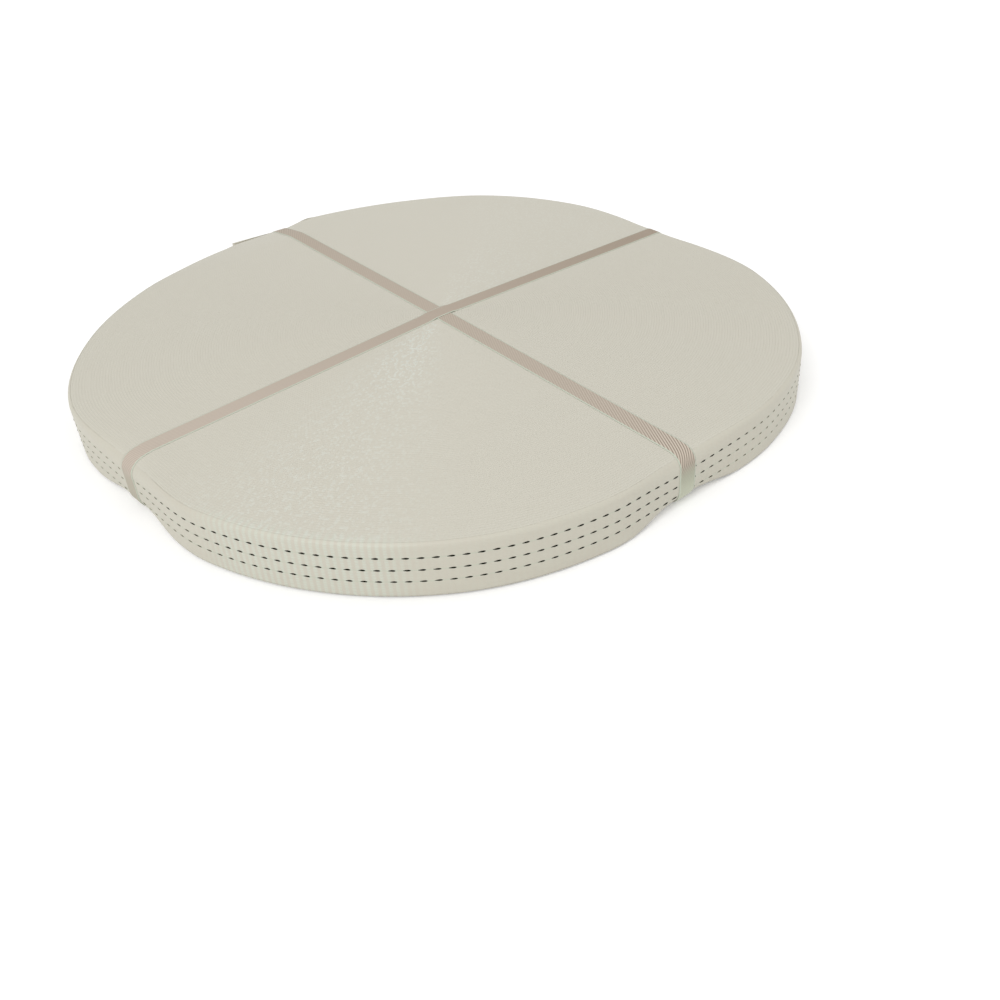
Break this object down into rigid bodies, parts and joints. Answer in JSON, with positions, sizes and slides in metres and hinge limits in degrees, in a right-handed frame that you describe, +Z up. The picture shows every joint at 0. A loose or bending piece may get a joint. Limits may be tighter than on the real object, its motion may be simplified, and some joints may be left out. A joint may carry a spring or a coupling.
{
  "type": "woven strapping roll",
  "caption": "Flat coreless roll of woven polyester lashing strap lying on its end, held by two crossed tape ties.",
  "frame": {"origin": "on the roll's axis at the underside of the outer tie, where the two ties cross below the roll and it rests on the floor", "axes": "+Z up along the roll's axis; +Y towards the back of the picture's view, +X to its right"},
  "size_m": [0.4597, 0.4628, 0.0353],
  "materials": {
    "woven_strap": "tightly woven off-white polyester with a slight sheen",
    "tie_tape": "matt taupe woven tape with diagonal ribs"
  },
  "bodies": {
    "root": {"strap_roll": "woven_strap", "inner_tie": "tie_tape", "outer_tie": "tie_tape"}
  },
  "joints": []
}
